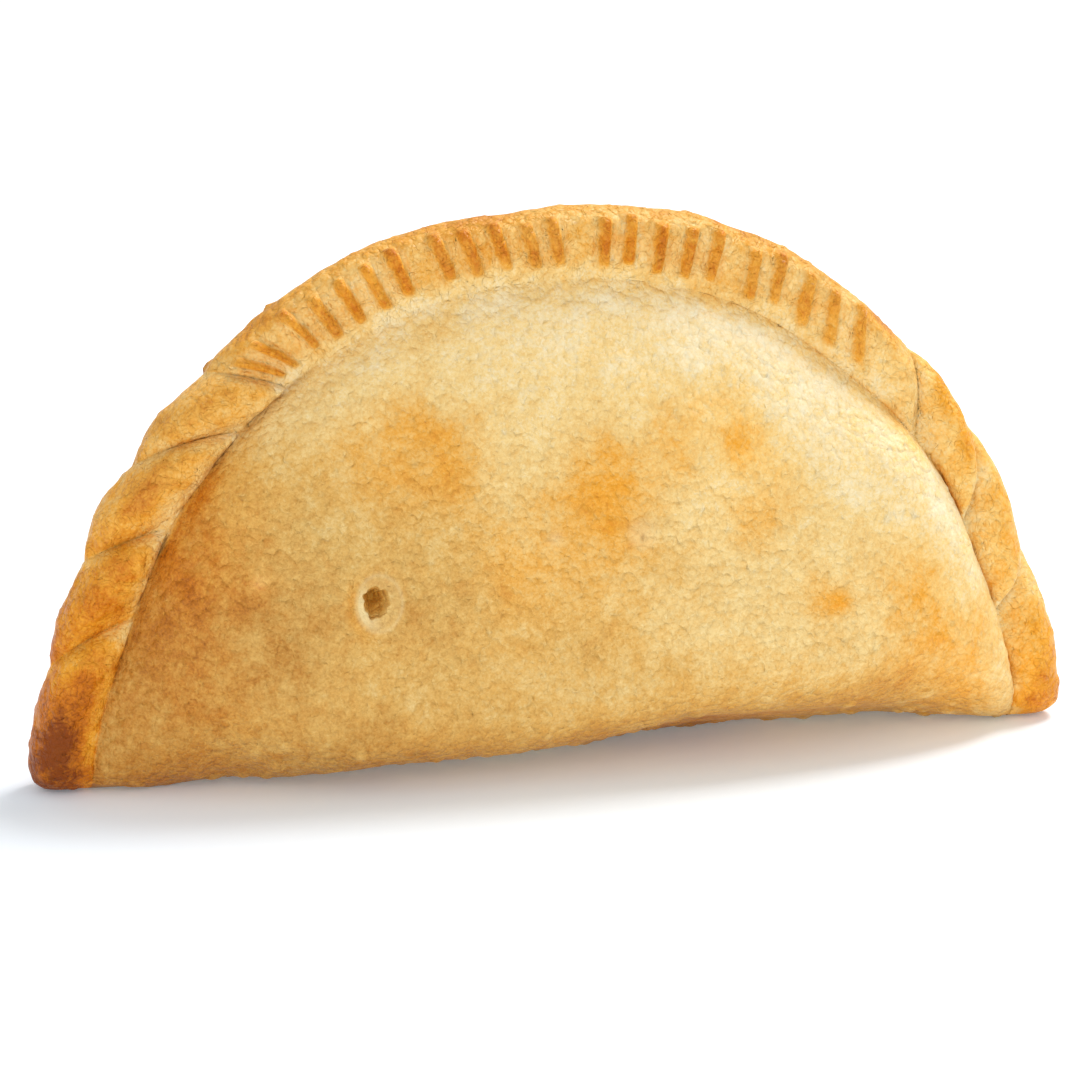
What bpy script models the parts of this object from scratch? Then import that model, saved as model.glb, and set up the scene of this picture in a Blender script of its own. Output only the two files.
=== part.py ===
# Baked empanada, one solid standing on its folded edge.
# The filled half-disc swells to both sides of its sealed rim. The rim is a pressed band over
# the crown and a rope of overlapping tucks down to both tips.
# X runs from tip to tip, Y through the thickness and Z up from the foot. The front faces -Y.
# Sizes are in millimetres and angles in degrees from +X, about the middle of the foot.

import bmesh
import bpy
import numpy as np
from mathutils import Matrix

mm = 0.001

# The half-disc from the front
halfWidth = 65.1            # middle to either tip
crownHeight = 67.5          # foot to the top of the rim
crownSpread = (38.0, 74.0)  # the outline grows from halfWidth to crownHeight between these
waistDepth = 1.5            # the outline draws in a little above each tip
waistAngle = 20.0
waistSpread = 12.0
edgeDents = ((30.0, 10.0, -0.4), (58.0, 5.0, -0.25), (75.5, 3.0, 0.5), (94.5, 3.0, -0.45),
             (112.0, 5.0, 0.3), (140.0, 5.0, -0.2), (172.0, 5.0, -0.35))

# The sealed rim
bandWidth = 8.3             # edge to seam along the pressed band
bandHalf = 2.9              # half thickness of the band
bandRound = 2.6             # how far in from its edge the band rounds over
bandShoulder = 1.2          # the band thickens where it laps the first tuck
shoulderLength = 3.0        # degrees from that crease to the thickest place
shoulderStart = 6.0         # how steeply it comes out of the crease
bandRow = (44.5, 56.5, 127.5, 131.5)    # the band's own edge starts and ends between these
bandBody = (37.5, 59.5, 112.5, 136.5)   # the same for the seam and the body beside it
ropeWidth = 7.2             # edge to seam along the rope
ropeHalf = 5.3              # half thickness at the crest of a tuck
creaseHalf = 2.1            # half thickness in the crease between two tucks
seamHalf = 3.6              # half thickness where the rope meets the filled body
ropeRound = 4.0
innerRound = 0.3            # part of the rim's width that rounds down to the seam
creaseSlip = 0.12           # how much of its height a tuck keeps where it slips under the next
tuckLip = 0.22              # part of a tuck's length that rises out of the crease
tuckFall = 0.45             # from here on it sinks towards the next crease
tuckBulge = 0.95            # how far the outline swings between a crease and a crest
bulgeLean = 1.3             # above 1, it bulges most past the middle of a tuck
bulgeFade = (4.0, 14.0)     # the swing dies away towards the tips
rightCreases = (20.5, 36.0, 47.5)
rightTurns = (6.3, 8.9, 7.8)        # turn of each crease on its way in from the edge to the seam
leftCreases = (130.5, 142.4, 154.0, 166.0)
leftTurns = (5.6, 10.0, 7.6, 8.0)
turnEnds = (62.0, 118.0)    # no turn along the band between these
turnEase = 0.75             # below 1, a crease turns most near the edge
tipOverrun = 7.0            # the last tucks would run on past the foot by this angle
tipRound = 3.7              # corner of the rim at either tip
tipHalf = 4.3               # half thickness of the rim where it comes down to the foot
tipSeamHalf = 3.6
tipSpread = (1.0, 15.0)

# The filled body; five values run from the right tip over the crown to the left tip
bodyStops = (2.0, 30.0, 90.0, 150.0, 178.0)
frontDepth = 15.2           # from the rim's plane to the front of the belly
backDepth = 20.0            # the side that lay on the tray is deeper and a little flatter
frontSweep = (42.0, 33.0, 44.0, 31.0, 42.0)     # seam to full depth
backSweep = (40.0, 30.0, 40.0, 30.0, 40.0)
frontFullness = (2.4, 2.6, 1.7, 2.1, 1.35)      # how quickly the body swells from the seam
backFullness = (1.4, 2.4, 2.2, 2.4, 1.4)
seamSoft = (1.2, 0.3)       # hollow between rim and body, beside the band and beside the rope
swellHeight = 0.45          # slow unevenness of the dough, a sum of waves
swellWaves = (              # turn per mm along X and along Z, shift to either side, start, share
    (0.11, 0.07, 1.3, 0.0, 0.6), (-0.06, 0.17, 0.0, 2.1, 0.6),
    (0.23, -0.19, 0.7, 0.0, 0.3), (0.21, 0.27, 0.0, 0.4, 0.3))
swellEase = 14.0            # it fades out this near to the seam

# The steam vent pierced through the front
ventX = -25.5
ventZ = 24.4
ventWidth = 3.8
ventDepth = 4.5
ventTaper = (0.3, 0.7)      # radius at the bottom and over the mouth, in ventWidth
ventSides = 10
ventWaver = 0.12
ventWaverTurn = 2.3

# The folded edge that it stands on
frontFootRound = 5.5        # corner between the belly and the underside
backFootRound = 8.0
endFootRound = 12.0         # towards the tips the underside is one round keel
keelStart = (25.0, 52.0)
roundLimit = (0.6, 0.88)    # the corner takes up no more than this part of the half thickness
footStops = (-56.0, -47.0, -41.5, -36.0, -8.0, 3.0, 13.0, 21.0, 37.0, 42.5, 47.5, 55.0, 61.0)
footLines = (0.0, 0.7, 1.8, 1.4, 4.1, 5.3, 7.2, 8.4, 9.0, 8.8, 6.0, 1.2, 0.0)
footSlopes = (0.34, 0.36, 0.37, 0.3, 0.28, 0.34, 0.43, 0.39, 0.36, 0.36, 0.4, 0.44, 0.44)
backFootSlope = 0.16        # the underside rises at footSlopes in front of footLines
footWidth = 6.0             # flat strip that carries the weight
endFootWidth = 1.5
footEase = 6.0
footEnds = (40.0, 56.0)     # the strip narrows between these
liftFade = 32.0             # height over which the rise of the underside dies away
footReach = 50.0            # the body's columns of faces end this far out along the foot
footSpread = 1.3            # and crowd a little towards the middle

# Faces
bandColumns = 25
columnSteps = (0.0, 0.1, 0.24, 0.45, 0.66, 0.84)    # along each tuck, closest at its lip
bandStart = 1.1             # degrees from the last crease to the band's next column
footCorner = 8.0            # height of the rows that turn under to the foot
edgeRows = 3
rimRows = 4
wallRows = 12
wallCrowding = 1.5          # above 1, the wall's rows crowd towards the seam
footRows = 3
tipAngles = (0.0, 0.4, 1.5, 3.1)
underStart = (0.2, 0.78)    # least and most of the way across the foot that the strip starts
underEnd = (0.08, 0.92)     # its least width, and the most of the way across that it ends


def smooth(low, high, value):
    t = np.clip((value - low) / (high - low), 0.0, 1.0)
    return t * t * (3.0 - 2.0 * t)


def mix(a, b, share):
    return a + (b - a) * share


def bell(distance, width):
    return np.exp(-((distance / width) ** 2))


def quarterRound(height, radius):
    # how far a corner of this radius draws in, at a height above its foot
    up = np.clip(1.0 - height / np.maximum(radius, 1e-6), 0.0, 1.0)
    return radius * (1.0 - np.sqrt(1.0 - up * up))


def fromTip(angle):
    return np.minimum(angle, 180.0 - angle)


def outsideBand(ends, angle):
    # 1 along the rope of tucks, 0 along the pressed band
    right = 1.0 - smooth(ends[0], ends[1], angle)
    return np.maximum(right, smooth(ends[2], ends[3], angle))


def tuckPhase(angle):
    # how far along its tuck a place is, from the crease that it rises from (0) to the next (1)
    bounds = np.array((-tipOverrun,) + rightCreases + leftCreases + (180.0 + tipOverrun,))
    tuck = np.clip(np.searchsorted(bounds, angle, side="right") - 1, 0, len(bounds) - 2)
    return (angle - bounds[tuck]) / (bounds[tuck + 1] - bounds[tuck])


def tuckHeight(angle):
    # 0 in a crease and 1 on a tuck's crest; each tuck rises steeply and slips under the next
    phase = tuckPhase(angle)
    rise = np.sqrt(1.0 - (1.0 - np.clip(phase / tuckLip, 0.0, 1.0)) ** 2)
    fall = mix(1.0, creaseSlip, smooth(tuckFall, 1.0, phase))
    return mix(creaseSlip, 1.0, rise) * fall


def crestHalf(angle):
    # half thickness of the rim's fat part
    past = np.maximum(angle - rightCreases[-1], 0.0) / shoulderLength
    band = bandHalf + bandShoulder * past * np.exp(1.0 - past)
    band = band - (bandHalf - creaseHalf) * np.exp(-shoulderStart * past)
    crest = mix(tipHalf, ropeHalf, smooth(*tipSpread, fromTip(angle)))
    rope = mix(creaseHalf, crest, tuckHeight(angle))
    isBand = (angle >= rightCreases[-1]) & (angle < leftCreases[0])
    return np.where(isBand, band, rope)


def baseOutline(angle):
    away = fromTip(angle)
    radius = mix(halfWidth, crownHeight, smooth(*crownSpread, away))
    return radius - waistDepth * bell(away - waistAngle, waistSpread)


def outline(angle):
    swing = tuckBulge * (np.sin(np.pi * tuckPhase(angle) ** bulgeLean) - 0.5)
    swing = swing * outsideBand(bandRow, angle) * smooth(*bulgeFade, fromTip(angle))
    dents = sum(deep * bell(angle - place, wide) for place, wide, deep in edgeDents)
    radius = baseOutline(angle) + swing + dents
    return radius - quarterRound(radius * np.sin(np.radians(angle)), tipRound)


def seamRadius(angle):
    return baseOutline(angle) - mix(bandWidth, ropeWidth, outsideBand(bandBody, angle))


def creaseTurn(angle):
    # how far a crease turns on its way in from the edge, as the strands of a rope wind
    stops = (0.0,) + rightCreases + turnEnds + leftCreases + (180.0,)
    return np.interp(angle, stops, (0.0,) + rightTurns + (0.0, 0.0) + leftTurns + (0.0,))


def seamDepth(angle):
    rope = mix(tipSeamHalf, seamHalf, smooth(*tipSpread, fromTip(angle)))
    return mix(bandHalf, rope, outsideBand(bandBody, angle))


def edgeShare(angle):
    # the part of the rim's width that rounds over to its edge
    rope = outsideBand(bandRow, angle)
    return mix(bandRound, ropeRound, rope) / mix(bandWidth, ropeWidth, rope)


def rimHalf(angle, seamAngle, inward):
    # half thickness of the rim; inward runs from 0 at the edge to 1 at the seam
    crest = crestHalf(angle)
    inner = np.clip((1.0 - inward) / innerRound, 0.0, 1.0)
    body = mix(seamDepth(seamAngle), crest, np.sqrt(1.0 - (1.0 - inner) ** 2))
    over = np.clip(1.0 - inward / edgeShare(angle), 0.0, 1.0)
    return body * np.sqrt(1.0 - over * over)


def unevenness(x, z, side):
    total = np.zeros(np.shape(x))
    for alongX, alongZ, shift, start, share in swellWaves:
        total = total + share * np.sin(alongX * x + alongZ * z + shift * side + start)
    return swellHeight * total


def around(values, angle):
    # a size that changes on the way round from the right tip to the left one
    stop = np.clip(np.searchsorted(bodyStops, angle) - 1, 0, len(bodyStops) - 2)
    stops = np.array(bodyStops)
    sizes = np.array(values)
    return mix(sizes[stop], sizes[stop + 1], smooth(stops[stop], stops[stop + 1], angle))


def bodyHalf(x, z, side):
    # half thickness of the filled body over the point (x, z) of the rim's plane
    angle = np.degrees(np.arctan2(z, x))
    depth = frontDepth if side < 0 else backDepth
    sweep = around(frontSweep if side < 0 else backSweep, angle)
    fullness = around(frontFullness if side < 0 else backFullness, angle)
    inside = np.maximum(seamRadius(angle) - np.hypot(x, z), 0.0)
    hollow = mix(*seamSoft, outsideBand(bandBody, angle))
    t = np.clip((np.hypot(inside, hollow) - hollow) / sweep, 0.0, 1.0)
    swell = (1.0 - (1.0 - t) ** 2) ** (1.0 / fullness)
    uneven = unevenness(x, z, side) * smooth(0.0, swellEase, inside)
    return mix(seamDepth(angle), depth, swell) + uneven


def footInset(x, z, half, side):
    # how far the wall draws in where it turns under to the foot
    keel = smooth(*keelStart, np.abs(x))
    corner = mix(frontFootRound if side < 0 else backFootRound, endFootRound, keel)
    return quarterRound(z, np.minimum(corner, mix(*roundLimit, keel) * half))


def ramp(distance):
    eased = np.clip(distance, 0.0, footEase) ** 2 / (2.0 * footEase)
    return eased + np.maximum(distance - footEase, 0.0)


def footStart(x):
    return np.interp(x, footStops, footLines)


def footEnd(x):
    return footStart(x) + mix(footWidth, endFootWidth, smooth(*footEnds, np.abs(x)))


def footRise(x, y):
    slope = np.interp(x, footStops, footSlopes)
    return slope * ramp(footStart(x) - y) + backFootSlope * ramp(y - footEnd(x))


def lifted(x, y, z):
    return np.stack([x, y, z + footRise(x, y) * (1.0 - smooth(0.0, liftFade, z))], axis=-1)


def edgeAngles():
    # closest at the lips of the tucks, and at the foot where the rim rounds under
    angles = list(tipAngles[:-1])
    bounds = tipAngles[-1:] + rightCreases
    for low, high in zip(bounds[:-1], bounds[1:]):
        angles += [mix(low, high, step) for step in columnSteps]
    angles.append(rightCreases[-1])
    low = rightCreases[-1] + bandStart
    angles += list(np.linspace(low, leftCreases[0], bandColumns, endpoint=False))
    bounds = leftCreases + (180.0 - tipAngles[-1],)
    for low, high in zip(bounds[:-1], bounds[1:]):
        angles += [mix(low, high, step) for step in columnSteps]
    return np.array(angles + [180.0 - angle for angle in reversed(tipAngles)])


def wallPoints(x, z, half, side):
    return lifted(x, side * (half - footInset(x, z, half, side)), z)


def sheet(angles, side):
    # one side as rows of points from the edge down to the foot, side -1 front and +1 back
    turn = creaseTurn(angles) * side
    edge = edgeShare(angles)
    inwards = [edge * (1.0 - np.cos(k * np.pi / 2 / edgeRows)) for k in range(edgeRows + 1)]
    inwards += [mix(edge, 1.0, np.sin(k * np.pi / 2 / rimRows)) for k in range(1, rimRows + 1)]
    rows = []
    for inward in inwards:
        angle = angles + turn * inward ** turnEase
        radius = mix(outline(angles), seamRadius(angles + turn), inward)
        x = radius * np.cos(np.radians(angle))
        z = radius * np.sin(np.radians(angle))
        rows.append(wallPoints(x, z, rimHalf(angles, angles + turn, inward), side))
    seamX = x
    seamZ = z
    away = (fromTip(angles) / 90.0) ** footSpread
    footX = footReach * np.where(angles < 90.0, 1.0 - away, away - 1.0)
    low = footCorner / np.maximum(seamZ, footCorner * 2.0)
    shares = [mix(1.0, low, (k / wallRows) ** wallCrowding) for k in range(1, wallRows + 1)]
    shares += [low * (1.0 - np.sin(k * np.pi / 2 / footRows)) for k in range(1, footRows + 1)]
    for share in shares:
        x = mix(footX, seamX, share)
        z = seamZ * share
        rows.append(wallPoints(x, z, bodyHalf(x, z, side), side))
    return np.array(rows)


def underside(front, back):
    # rows of points across the foot, between the lowest points of the two sides
    x = front[:, 0]
    low = front[:, 1]
    high = back[:, 1]
    span = np.maximum(high - low, 1e-6)
    start = np.clip((footStart(x) - low) / span, *underStart)
    end = np.clip((footEnd(x) - low) / span, start + underEnd[0], underEnd[1])
    shares = [start / 3.0, start / 1.5, start, end, mix(end, 1.0, 0.5)]
    return [lifted(x, mix(low, high, share), np.zeros_like(x)) for share in shares]


def border(rows):
    # the lower border of one side, from the right tip's edge along the foot to the left one's
    right = [row[0] for row in rows]
    left = [row[-1] for row in reversed(rows)]
    return right + list(rows[-1][1:-1]) + left


def addStrip(mesh, upper, lower):
    for a, b, c, d in zip(upper[:-1], upper[1:], lower[1:], lower[:-1]):
        corners = list(dict.fromkeys((a, b, c, d)))
        if len(corners) > 2:
            mesh.faces.new(corners)


def buildPastry():
    angles = edgeAngles()
    mesh = bmesh.new()
    places = [sheet(angles, side) for side in (-1.0, 1.0)]
    # both sides share the points of the outermost edge
    edge = [mesh.verts.new(point * mm) for point in places[0][0]]
    grids = []
    for rows in places:
        grids.append([edge] + [[mesh.verts.new(point * mm) for point in row] for row in rows[1:]])
    for grid in grids:
        for upper, lower in zip(grid[:-1], grid[1:]):
            addStrip(mesh, upper, lower)
    front, back = [border(grid) for grid in grids]
    across = [front]
    for row in underside(*[np.array(border(rows)) for rows in places]):
        inner = [mesh.verts.new(point * mm) for point in row[1:-1]]
        across.append([front[0]] + inner + [front[-1]])
    across.append(back)
    for upper, lower in zip(across[:-1], across[1:]):
        addStrip(mesh, upper, lower)
    bmesh.ops.recalc_face_normals(mesh, faces=mesh.faces)
    return mesh


def standOverOrigin(mesh):
    # the origin is under the middle of the box, so the rim's plane ends up a little in front of it
    depths = [point.co.y for point in mesh.verts]
    middle = (min(depths) + max(depths)) / 2.0
    bmesh.ops.translate(mesh, verts=mesh.verts, vec=(0.0, -middle, 0.0))
    return middle


def ventCutter(rimShift):
    # a tapered pin with uneven sides, as a skewer leaves
    mesh = bmesh.new()
    front = -float(bodyHalf(ventX, ventZ, -1.0))
    turned = Matrix.Rotation(np.pi / 2, 4, "X")
    made = bmesh.ops.create_cone(
        mesh, cap_ends=True, segments=ventSides, radius1=ventTaper[0] * ventWidth * mm,
        radius2=ventTaper[1] * ventWidth * mm, depth=2.0 * ventDepth * mm, matrix=turned)
    for number, point in enumerate(made["verts"]):
        point.co.x *= 1.0 + ventWaver * np.sin(ventWaverTurn * number)
    data = bpy.data.meshes.new("ventCutter")
    mesh.to_mesh(data)
    mesh.free()
    cutter = bpy.data.objects.new("ventCutter", data)
    cutter.location = (ventX * mm, front * mm - rimShift, ventZ * mm)
    cutter.hide_render = True
    cutter.display_type = "WIRE"
    bpy.context.collection.objects.link(cutter)
    return cutter


def crustMaterial():
    material = bpy.data.materials.new("bakedCrust")
    material.use_nodes = True
    shader = material.node_tree.nodes["Principled BSDF"]
    shader.inputs["Base Color"].default_value = (0.71, 0.44, 0.17, 1.0)
    shader.inputs["Roughness"].default_value = 0.62
    return material


for old in list(bpy.data.objects):
    bpy.data.objects.remove(old)

mesh = buildPastry()
rimShift = standOverOrigin(mesh)
data = bpy.data.meshes.new("pastry")
mesh.to_mesh(data)
mesh.free()
data.materials.append(crustMaterial())
data.shade_smooth()
pastry = bpy.data.objects.new("pastry", data)
bpy.context.collection.objects.link(pastry)

vent = pastry.modifiers.new("vent", "BOOLEAN")
vent.operation = "DIFFERENCE"
vent.object = ventCutter(rimShift)
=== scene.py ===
import itertools
import bmesh
import bpy
import numpy as np
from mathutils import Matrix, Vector


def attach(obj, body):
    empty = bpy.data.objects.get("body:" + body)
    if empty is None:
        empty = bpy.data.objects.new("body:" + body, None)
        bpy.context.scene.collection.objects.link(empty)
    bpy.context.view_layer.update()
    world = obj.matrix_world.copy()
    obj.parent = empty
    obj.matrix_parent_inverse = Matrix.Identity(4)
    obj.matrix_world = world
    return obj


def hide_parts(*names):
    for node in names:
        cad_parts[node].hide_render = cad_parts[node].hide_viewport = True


# A baked empanada: one closed crust standing on its folded edge.
# X runs from tip to tip, Z up, and the front faces -Y. Sizes are in mm unless a note says otherwise.
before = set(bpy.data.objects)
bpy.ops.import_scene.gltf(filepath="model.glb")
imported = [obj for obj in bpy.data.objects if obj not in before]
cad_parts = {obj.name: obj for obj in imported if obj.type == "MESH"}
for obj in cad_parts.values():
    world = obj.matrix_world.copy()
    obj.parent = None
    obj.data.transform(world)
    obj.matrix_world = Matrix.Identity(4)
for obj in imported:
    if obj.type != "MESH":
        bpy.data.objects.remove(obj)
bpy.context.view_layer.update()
mm = 0.001


def smooth(low, high, value):
    t = np.clip((value - low) / (high - low), 0.0, 1.0)
    return t * t * (3.0 - 2.0 * t)


def mix(a, b, share):
    return a + (b - a) * share


def bell(distance, width):
    return np.exp(-((distance / width) ** 2))


# Noise that the mesh code shares
def softNoise(points, size, seed):
    # smooth lumps of about this size, from -1 to 1
    table = np.random.RandomState(seed).uniform(-1.0, 1.0, (32, 32, 32))
    place = points / size + 100.0
    cell = np.floor(place).astype(int)
    t = place - cell
    t = t * t * (3.0 - 2.0 * t)
    total = np.zeros(len(points))
    for corner in itertools.product((0, 1), repeat=3):
        weight = np.ones(len(points))
        for axis in range(3):
            weight *= t[:, axis] if corner[axis] else 1.0 - t[:, axis]
        at = (cell + np.array(corner)) % 32
        total += weight * table[at[:, 0], at[:, 1], at[:, 2]]
    return total


def scattered(points, spacing, radius, share, seed):
    # round domes from 0 to 1, one in some of the cells of this spacing
    table = np.random.RandomState(seed).rand(32, 32, 32, 5)
    cell = np.floor(points / spacing).astype(int)
    best = np.zeros(len(points))
    for step in itertools.product((-1, 0, 1), repeat=3):
        here = cell + np.array(step)
        roll = table[here[:, 0] % 32, here[:, 1] % 32, here[:, 2] % 32]
        centre = (here + roll[:, :3]) * spacing
        size = radius * mix(0.5, 1.0, roll[:, 3])
        away = np.linalg.norm(points - centre, axis=1) / size
        dome = np.clip(1.0 - away * away, 0.0, 1.0) * mix(0.5, 1.0, roll[:, 3])
        best = np.maximum(best, np.where(roll[:, 4] < share, dome, 0.0))
    return best


# The folded half-disc: rim, rope of tucks, filled body and foot
form = {
    "halfWidth": 65.1,
    "crownHeight": 67.5,
    "crownSpread": (38.0, 74.0),  # degrees; the outline grows to its height between these
    "waistDepth": 1.5, "waistAngle": 20.0, "waistSpread": 12.0,
    "rimPlane": -2.23,            # the rim stands this far from the middle of the box
    # degrees, spread, how far out
    "edgeDents": ((30.0, 10.0, -0.4), (58.0, 5.0, -0.25), (75.5, 3.0, 0.5), (94.5, 3.0, -0.45),
                  (112.0, 5.0, 0.3), (140.0, 5.0, -0.2), (172.0, 5.0, -0.35)),
    "bandWidth": 8.3, "bandHalf": 2.9, "bandRound": 2.6,
    "bandShoulder": 1.2, "shoulderLength": 3.0, "shoulderStart": 6.0,
    "bandRow": (44.5, 56.5, 127.5, 131.5), "bandBody": (37.5, 59.5, 112.5, 136.5),
    "ropeWidth": 7.2, "ropeHalf": 5.3, "creaseHalf": 2.1, "seamHalf": 3.6, "ropeRound": 4.0,
    "innerRound": 0.4,
    "creaseSlip": 0.12,
    "lip": 0.16,                  # part of a tuck that rises out of the crease
    "fall": 0.35, "fallCurve": 2.2,   # from here on it sinks, slowly and then steeply
    "tuckBulge": 0.95, "bulgeLean": 1.3, "bulgeFade": (4.0, 14.0),
    "rightCreases": (20.5, 36.0, 47.5), "rightTurns": (6.3, 8.9, 7.8),
    "leftCreases": (130.5, 142.4, 154.0, 166.0), "leftTurns": (5.6, 10.0, 7.6, 8.0),
    "turnEnds": (62.0, 118.0), "turnEase": 0.75,
    "tipOverrun": 7.0, "tipRound": 3.7, "tipHalf": 4.3, "tipSeamHalf": 3.6,
    "tipSpread": (1.0, 15.0),
    # right tip, right shoulder, crown, left shoulder, left tip
    "bodyStops": (2.0, 30.0, 90.0, 150.0, 178.0),
    "frontDepth": 15.2, "backDepth": 20.0,
    "frontSweep": (42.0, 33.0, 44.0, 31.0, 42.0), "backSweep": (40.0, 30.0, 40.0, 30.0, 40.0),
    "frontFullness": (2.4, 2.6, 1.7, 2.1, 1.35), "backFullness": (1.4, 2.4, 2.2, 2.4, 1.4),
    "seamSoft": (3.0, 0.4),       # hollow between rim and body, at the band and at the rope
    "swellHeight": 0.45, "swellEase": 14.0,
    # turn per mm along X and Z, shift to either side, start, share
    "swellWaves": ((0.11, 0.07, 1.3, 0.0, 0.6), (-0.06, 0.17, 0.0, 2.1, 0.6),
                   (0.23, -0.19, 0.7, 0.0, 0.3), (0.21, 0.27, 0.0, 0.4, 0.3)),
    "frontFootRound": 5.5, "backFootRound": 8.0, "endFootRound": 12.0,
    "keelStart": (25.0, 52.0), "roundLimit": (0.6, 0.88),
    # along X: where the underside leaves the floor and how steeply it rises in front of that
    "footStops": (-56.0, -47.0, -41.5, -36.0, -8.0, 3.0, 13.0, 21.0, 37.0, 42.5, 47.5, 55.0, 61.0),
    "footLines": (0.0, 0.7, 1.8, 1.4, 4.1, 5.3, 7.2, 8.4, 9.0, 8.8, 6.0, 1.2, 0.0),
    "footSlopes": (0.34, 0.36, 0.37, 0.3, 0.28, 0.34, 0.43, 0.39, 0.36, 0.36, 0.4, 0.44, 0.44),
    "backFootSlope": 0.16,
    "footWidth": 6.0, "endFootWidth": 1.5, "footEase": 6.0,
    "footEnds": (40.0, 56.0), "liftFade": 32.0, "footReach": 50.0, "footSpread": 1.3,
    "columnStep": 0.3, "bandStep": 0.25,   # degrees between columns along rope and band
    "lipCrowding": 1.3,           # above 1, columns crowd at the lip of each tuck
    "edgeRows": 12, "rimRows": 22, "wallRows": 108, "footRows": 12, "footCorner": 8.0,
    "wallCrowding": 1.3,
    "backEdgeRows": 8, "backRimRows": 12, "backWallRows": 64, "backFootRows": 8,
    "underRows": 18,
}


def quarterRound(height, radius):
    up = np.clip(1.0 - height / np.maximum(radius, 1e-6), 0.0, 1.0)
    return radius * (1.0 - np.sqrt(1.0 - up * up))


def fromTip(angle):
    return np.minimum(angle, 180.0 - angle)


def outsideBand(ends, angle):
    # 1 along the rope of tucks, 0 along the pressed band
    right = 1.0 - smooth(ends[0], ends[1], angle)
    return np.maximum(right, smooth(ends[2], ends[3], angle))


def tuckBounds():
    ends = form["tipOverrun"]
    return np.array((-ends,) + form["rightCreases"] + form["leftCreases"] + (180.0 + ends,))


def tuckPhase(angle):
    # how far along its tuck a place is, from its lip (0) to where it slips under (1)
    bounds = tuckBounds()
    tuck = np.clip(np.searchsorted(bounds, angle, side="right") - 1, 0, len(bounds) - 2)
    return (angle - bounds[tuck]) / (bounds[tuck + 1] - bounds[tuck])


def isBand(angle):
    return (angle >= form["rightCreases"][-1]) & (angle < form["leftCreases"][0])


def tuckHeight(angle):
    phase = tuckPhase(angle)
    rise = np.sqrt(1.0 - (1.0 - np.clip(phase / form["lip"], 0.0, 1.0)) ** 2)
    past = np.clip((phase - form["fall"]) / (1.0 - form["fall"]), 0.0, 1.0)
    fall = mix(1.0, form["creaseSlip"], past ** form["fallCurve"])
    return mix(form["creaseSlip"], 1.0, rise) * fall


def crestHalf(angle):
    past = np.maximum(angle - form["rightCreases"][-1], 0.0) / form["shoulderLength"]
    band = form["bandHalf"] + form["bandShoulder"] * past * np.exp(1.0 - past)
    step = form["bandHalf"] - form["creaseHalf"]
    band = band - step * np.exp(-form["shoulderStart"] * past)
    crest = mix(form["tipHalf"], form["ropeHalf"], smooth(*form["tipSpread"], fromTip(angle)))
    rope = mix(form["creaseHalf"], crest, tuckHeight(angle))
    return np.where(isBand(angle), band, rope)


def baseOutline(angle):
    away = fromTip(angle)
    radius = mix(form["halfWidth"], form["crownHeight"], smooth(*form["crownSpread"], away))
    return radius - form["waistDepth"] * bell(away - form["waistAngle"], form["waistSpread"])


def outline(angle):
    swing = np.sin(np.pi * tuckPhase(angle) ** form["bulgeLean"]) - 0.5
    swing = form["tuckBulge"] * swing * outsideBand(form["bandRow"], angle)
    swing = swing * smooth(*form["bulgeFade"], fromTip(angle))
    dents = sum(deep * bell(angle - place, wide) for place, wide, deep in form["edgeDents"])
    radius = baseOutline(angle) + swing + dents
    return radius - quarterRound(radius * np.sin(np.radians(angle)), form["tipRound"])


def seamRadius(angle):
    rope = outsideBand(form["bandBody"], angle)
    return baseOutline(angle) - mix(form["bandWidth"], form["ropeWidth"], rope)


def creaseTurn(angle):
    # how far a crease turns on its way in from the edge, as the strands of a rope wind
    stops = (0.0,) + form["rightCreases"] + form["turnEnds"] + form["leftCreases"] + (180.0,)
    turns = (0.0,) + form["rightTurns"] + (0.0, 0.0) + form["leftTurns"] + (0.0,)
    return np.interp(angle, stops, turns)


def seamDepth(angle):
    rope = mix(form["tipSeamHalf"], form["seamHalf"], smooth(*form["tipSpread"], fromTip(angle)))
    return mix(form["bandHalf"], rope, outsideBand(form["bandBody"], angle))


def edgeShare(angle):
    rope = outsideBand(form["bandRow"], angle)
    width = mix(form["bandWidth"], form["ropeWidth"], rope)
    return mix(form["bandRound"], form["ropeRound"], rope) / width


def rimHalf(angle, seamAngle, inward):
    inner = np.clip((1.0 - inward) / form["innerRound"], 0.0, 1.0)
    body = mix(seamDepth(seamAngle), crestHalf(angle), np.sqrt(1.0 - (1.0 - inner) ** 2))
    over = np.clip(1.0 - inward / edgeShare(angle), 0.0, 1.0)
    return body * np.sqrt(1.0 - over * over)


def unevenness(x, z, side):
    total = np.zeros(np.shape(x))
    for alongX, alongZ, shift, start, share in form["swellWaves"]:
        total = total + share * np.sin(alongX * x + alongZ * z + shift * side + start)
    return form["swellHeight"] * total


def around(values, angle):
    # a size that changes on the way round from the right tip to the left one
    stops = np.array(form["bodyStops"])
    sizes = np.array(values)
    stop = np.clip(np.searchsorted(stops, angle) - 1, 0, len(stops) - 2)
    return mix(sizes[stop], sizes[stop + 1], smooth(stops[stop], stops[stop + 1], angle))


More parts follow.
